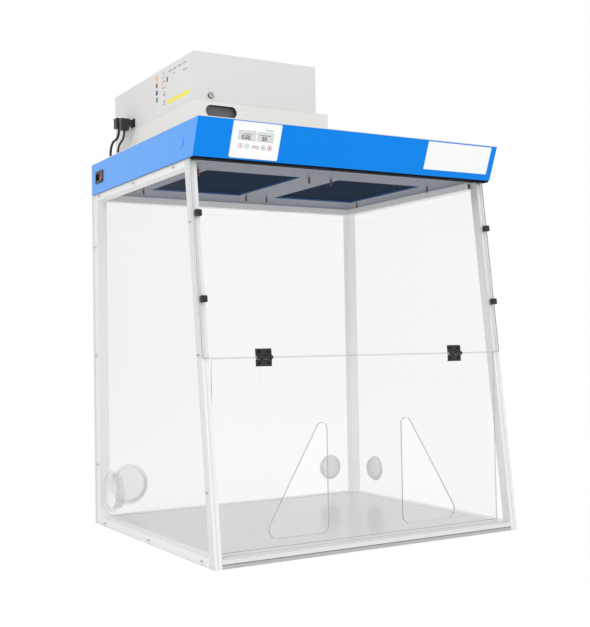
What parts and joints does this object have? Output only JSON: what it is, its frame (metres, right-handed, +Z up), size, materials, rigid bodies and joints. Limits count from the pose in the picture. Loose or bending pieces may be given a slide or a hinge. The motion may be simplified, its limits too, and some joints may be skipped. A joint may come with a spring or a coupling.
{
  "type": "ductless fume hood",
  "caption": "Bench-top ductless fume hood: clear chamber with leaning front and arm holes, folded header with display, fan and filter unit on top.",
  "frame": {"origin": "centre of the footprint, on the bench", "axes": "+Z up, +X to the right and -Y to the front of the hood, as the user sees it"},
  "size_m": [0.806, 0.693, 1.086],
  "materials": {
    "header_blue": "satin",
    "aluminium_profile": "satin",
    "tray_sheet": "gloss",
    "clear_sheet": "clear",
    "port_cap_plastic": "frosted",
    "black_plastic": "moulded",
    "black_metal": "satin",
    "screw_steel": "turned",
    "fan_grey": "fine texture",
    "casing_white": "fine texture",
    "ceiling_grey": "satin",
    "filter_mat": "woven",
    "filter_frame": "moulded",
    "stud_brown": "moulded",
    "seal_rubber": "moulded",
    "screen_glass": "gloss",
    "bezel_white": "gloss",
    "rocker_red": "gloss",
    "wheel_plastic": "moulded",
    "motor_metal": "satin",
    "cord_rubber": "matte"
  },
  "bodies": {
    "hood": {"base_rail_front": "aluminium_profile", "base_rail_left": "aluminium_profile", "base_rail_right": "aluminium_profile", "base_rail_back": "aluminium_profile", "rear_post_left": "aluminium_profile", "rear_post_right": "aluminium_profile", "front_post_left": "aluminium_profile", "front_post_right": "aluminium_profile", "top_rail_left": "aluminium_profile", "top_rail_right": "aluminium_profile", "top_rail_back": "aluminium_profile", "work_tray": "tray_sheet", "side_panel_left": "clear_sheet", "side_panel_right": "clear_sheet", "back_panel": "clear_sheet", "upper_front_panel": "clear_sheet", "side_panel_screws": "screw_steel", "hinge_pins": "screw_steel", "left_hinge_upper_leaf": "black_metal", "right_hinge_upper_leaf": "black_metal", "upper_hinge_screws": "black_metal", "power_module": "black_plastic", "fan_sockets": "black_plastic", "power_plug": "black_plastic", "control_plug": "black_plastic", "port_cap_left": "port_cap_plastic", "port_cap_right": "port_cap_plastic", "port_cap_back_left": "port_cap_plastic", "port_cap_back_right": "port_cap_plastic", "header_shell": "header_blue", "blanking_plug": "header_blue", "ceiling_plate": "ceiling_grey", "pre_filter_left": "filter_mat", "pre_filter_right": "filter_mat", "ceiling_studs": "stud_brown", "front_seal": "seal_rubber", "display_bezel": "bezel_white", "display_glass": "screen_glass", "filter_casing": "casing_white", "header_lid": "casing_white", "carbon_filter": "filter_frame", "fan_housing": "fan_grey", "fan_base_plate": "fan_grey", "outlet_grille": "fan_grey", "sampling_plug": "fan_grey", "fan_motor": "motor_metal", "power_lead": "cord_rubber", "control_lead": "cord_rubber", "lead_glands": "cord_rubber"},
    "flap": {"lower_front_panel": "clear_sheet", "left_hinge_lower_leaf": "black_metal", "right_hinge_lower_leaf": "black_metal", "lower_hinge_screws": "black_metal"},
    "knob_upper_left": {"panel_knob_upper_left": "black_plastic"},
    "knob_upper_right": {"panel_knob_upper_right": "black_plastic"},
    "knob_lower_left": {"panel_knob_lower_left": "black_plastic"},
    "knob_lower_right": {"panel_knob_lower_right": "black_plastic"},
    "rocker": {"power_rocker": "rocker_red"},
    "fan_wheel": {"impeller": "wheel_plastic"}
  },
  "joints": [
    {"name": "flap_hinge", "type": "hinge", "parent": "hood", "child": "flap", "pos_m": [0, -0.30594, 0.4225], "axis": [-1, 0, 0], "range_deg": [-5, 185]},
    {"name": "knob_upper_left_turn", "type": "hinge", "parent": "hood", "child": "knob_upper_left", "pos_m": [-0.388, -0.26631, 0.72446], "axis": [0, -0.9933, 0.1155], "continuous": true},
    {"name": "knob_upper_right_turn", "type": "hinge", "parent": "hood", "child": "knob_upper_right", "pos_m": [0.388, -0.26631, 0.72446], "axis": [0, -0.9933, 0.1155], "continuous": true},
    {"name": "knob_lower_left_turn", "type": "hinge", "parent": "hood", "child": "knob_lower_left", "pos_m": [-0.388, -0.28723, 0.54446], "axis": [0, -0.9933, 0.1155], "continuous": true},
    {"name": "knob_lower_right_turn", "type": "hinge", "parent": "hood", "child": "knob_lower_right", "pos_m": [0.388, -0.28723, 0.54446], "axis": [0, -0.9933, 0.1155], "continuous": true},
    {"name": "rocker_tilt", "type": "hinge", "parent": "hood", "child": "rocker", "pos_m": [-0.399, 0.271, 0.883], "axis": [0, -1, 0], "range_deg": [0, 14]},
    {"name": "fan_spin", "type": "hinge", "parent": "hood", "child": "fan_wheel", "pos_m": [-0.2085, 0.0325, 1.012], "axis": [0, 0, 1], "continuous": true}
  ]
}
